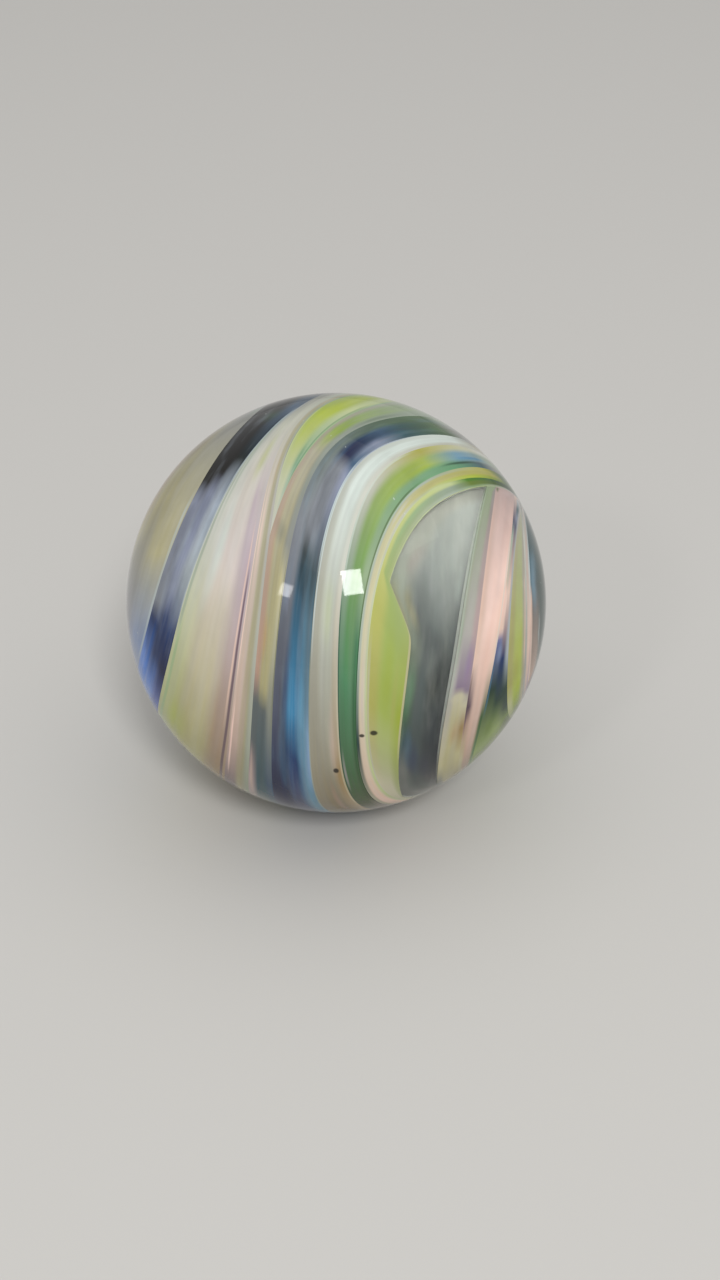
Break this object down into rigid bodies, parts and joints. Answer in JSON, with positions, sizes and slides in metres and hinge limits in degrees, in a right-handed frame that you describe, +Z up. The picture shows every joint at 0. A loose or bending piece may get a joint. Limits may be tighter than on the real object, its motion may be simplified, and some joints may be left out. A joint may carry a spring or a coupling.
{
  "type": "glass marble",
  "caption": "Round clear glass marble with ribbons of coloured glass fused into its surface and wound to one side as a swirl.",
  "frame": {"origin": "centre of the ball", "axes": "-Y is the side that the face of the swirl looks toward, tipped up from level; +X is to the right of that face; +Z is up"},
  "size_m": [0.025, 0.025, 0.025],
  "materials": {
    "clear_glass": "clear glass, smooth and glossy",
    "smoky_core": "smoky veiled glass inside the ball, grey to navy",
    "tan_ribbon": "tan to khaki glass, glossy",
    "slate_ribbon": "dark slate-blue see-through glass, glossy",
    "cream_ribbon": "milky cream glass, streaked, glossy",
    "salmon_ribbon": "salmon-tan opaque glass, streaked, glossy",
    "lemon_ribbon": "lemon-green opaque glass, glossy",
    "olive_ribbon": "sage, khaki and ochre glass, streaked, glossy",
    "blue_ribbon": "dark blue see-through glass, streaked, glossy",
    "white_ribbon": "white to mint opaque glass, glossy",
    "green_ribbon": "green opaque glass, streaked, glossy",
    "lilac_ribbon": "pale lilac-grey opaque glass, glossy",
    "lime_ribbon": "lime opaque glass, streaked, glossy",
    "sand_ribbon": "sand and violet-grey opaque glass, glossy",
    "apricot_ribbon": "pale apricot opaque glass, glossy",
    "leaf_ribbon": "dark leaf-green glass, glossy",
    "lime_stripe": "lime opaque glass, glossy",
    "pink_stripe": "pale pink opaque glass, glossy",
    "teal_ribbon": "grey-teal glass, glossy"
  },
  "bodies": {
    "root": {"clear_glass": "clear_glass", "smoky_core": "smoky_core", "tan_ribbon": "tan_ribbon", "slate_ribbon": "slate_ribbon", "cream_ribbon": "cream_ribbon", "salmon_ribbon": "salmon_ribbon", "lemon_ribbon": "lemon_ribbon", "olive_ribbon": "olive_ribbon", "blue_ribbon": "blue_ribbon", "white_ribbon": "white_ribbon", "green_ribbon": "green_ribbon", "lilac_ribbon": "lilac_ribbon", "lime_ribbon": "lime_ribbon", "sand_ribbon": "sand_ribbon", "apricot_ribbon": "apricot_ribbon", "leaf_ribbon": "leaf_ribbon", "lime_stripe": "lime_stripe", "pink_stripe": "pink_stripe", "teal_ribbon": "teal_ribbon"}
  },
  "joints": []
}
